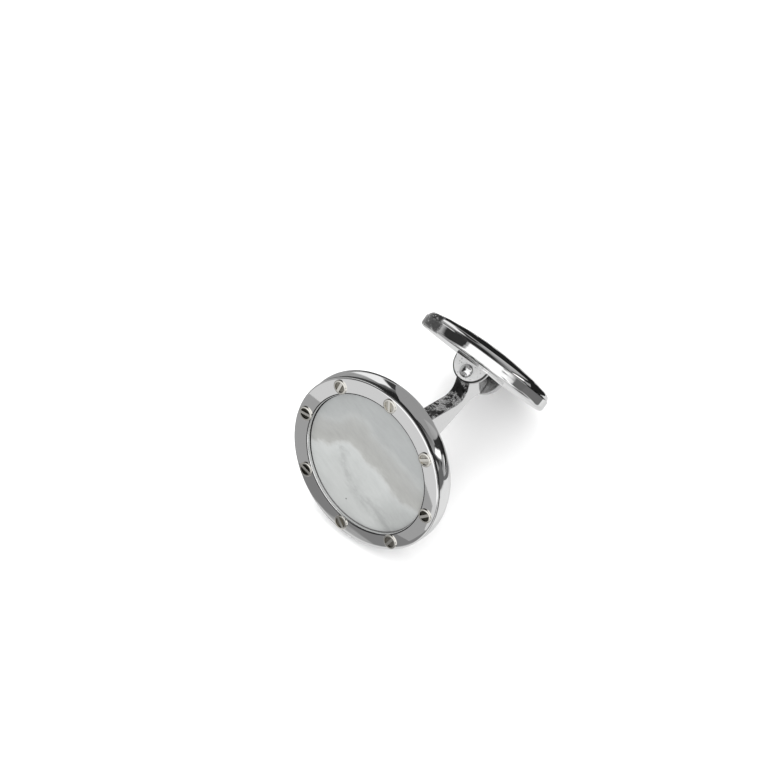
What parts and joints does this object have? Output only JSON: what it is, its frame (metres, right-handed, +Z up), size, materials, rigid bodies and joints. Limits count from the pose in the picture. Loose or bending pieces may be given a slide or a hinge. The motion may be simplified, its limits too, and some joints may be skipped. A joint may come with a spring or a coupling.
{
  "type": "cufflink",
  "caption": "Round cufflink: a mother-of-pearl disc under a screwed bezel ring, a curved flat post, and a swivelling round toggle on a hinge pin.",
  "frame": {"origin": "on the surface that the cufflink lies on, under the middle of its length and its width", "axes": "+Y along the cufflink from the front disc to the toggle, +Z up, +X across the post"},
  "size_m": [0.019, 0.0257, 0.0181],
  "materials": {
    "polished_metal": "polished",
    "screw_metal": "polished",
    "mother_of_pearl": "polished"
  },
  "bodies": {
    "front": {"front_case": "polished_metal", "bezel": "polished_metal", "pearl": "mother_of_pearl", "screw_1": "screw_metal", "screw_2": "screw_metal", "screw_3": "screw_metal", "screw_4": "screw_metal", "screw_5": "screw_metal", "screw_6": "screw_metal", "screw_7": "screw_metal", "screw_8": "screw_metal"},
    "swivel": {"toggle": "polished_metal", "hinge_pin": "screw_metal"}
  },
  "joints": [
    {"name": "toggle_swing", "type": "hinge", "parent": "front", "child": "swivel", "pos_m": [0, 0.00737, 0.00651], "axis": [0, -0.389, 0.9212], "range_deg": [-90, 90]}
  ]
}
